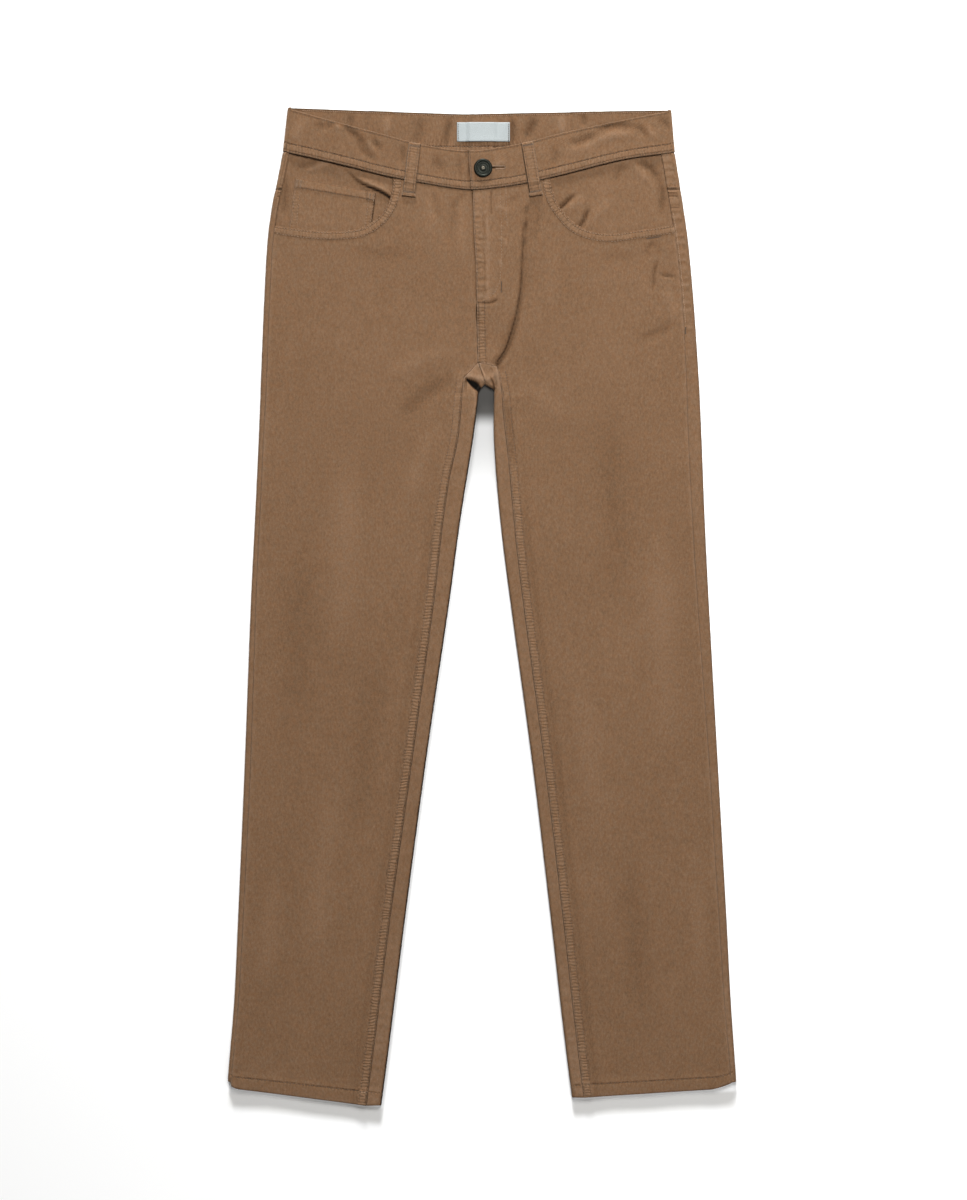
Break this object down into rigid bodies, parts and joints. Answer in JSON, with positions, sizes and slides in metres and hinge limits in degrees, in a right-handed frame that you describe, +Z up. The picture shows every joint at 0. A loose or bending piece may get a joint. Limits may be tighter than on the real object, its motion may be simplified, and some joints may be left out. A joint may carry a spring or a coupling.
{
  "type": "corduroy trousers",
  "caption": "Straight-leg corduroy trousers laid flat with the front upwards, with a buttoned waistband, belt loops, curved front pockets and a coin pocket.",
  "frame": {"origin": "on the table, at the middle of the garment's outline", "axes": "+Y to the waist, +X to the viewer's right (the wearer's left), +Z up from the table through the front"},
  "size_m": [0.5398, 1.0598, 0.0122],
  "materials": {
    "corduroy": "fine-wale corduroy, soft nap",
    "button_metal": "dark gunmetal, satin",
    "label_cloth": "smooth woven label, bare",
    "zip_tape": "plain woven tape"
  },
  "bodies": {
    "root": {"front_right": "corduroy", "front_left": "corduroy", "back_right": "corduroy", "back_left": "corduroy", "yoke_right": "corduroy", "yoke_left": "corduroy", "pocket_facing_right": "corduroy", "pocket_facing_left": "corduroy", "back_pocket_right": "corduroy", "back_pocket_left": "corduroy", "coin_pocket": "corduroy", "waistband": "corduroy", "belt_loop_front_right": "corduroy", "belt_loop_front_left": "corduroy", "belt_loop_back_right": "corduroy", "belt_loop_centre_back": "corduroy", "belt_loop_back_left": "corduroy", "zip": "zip_tape", "waist_button": "button_metal", "size_label": "label_cloth"}
  },
  "joints": []
}
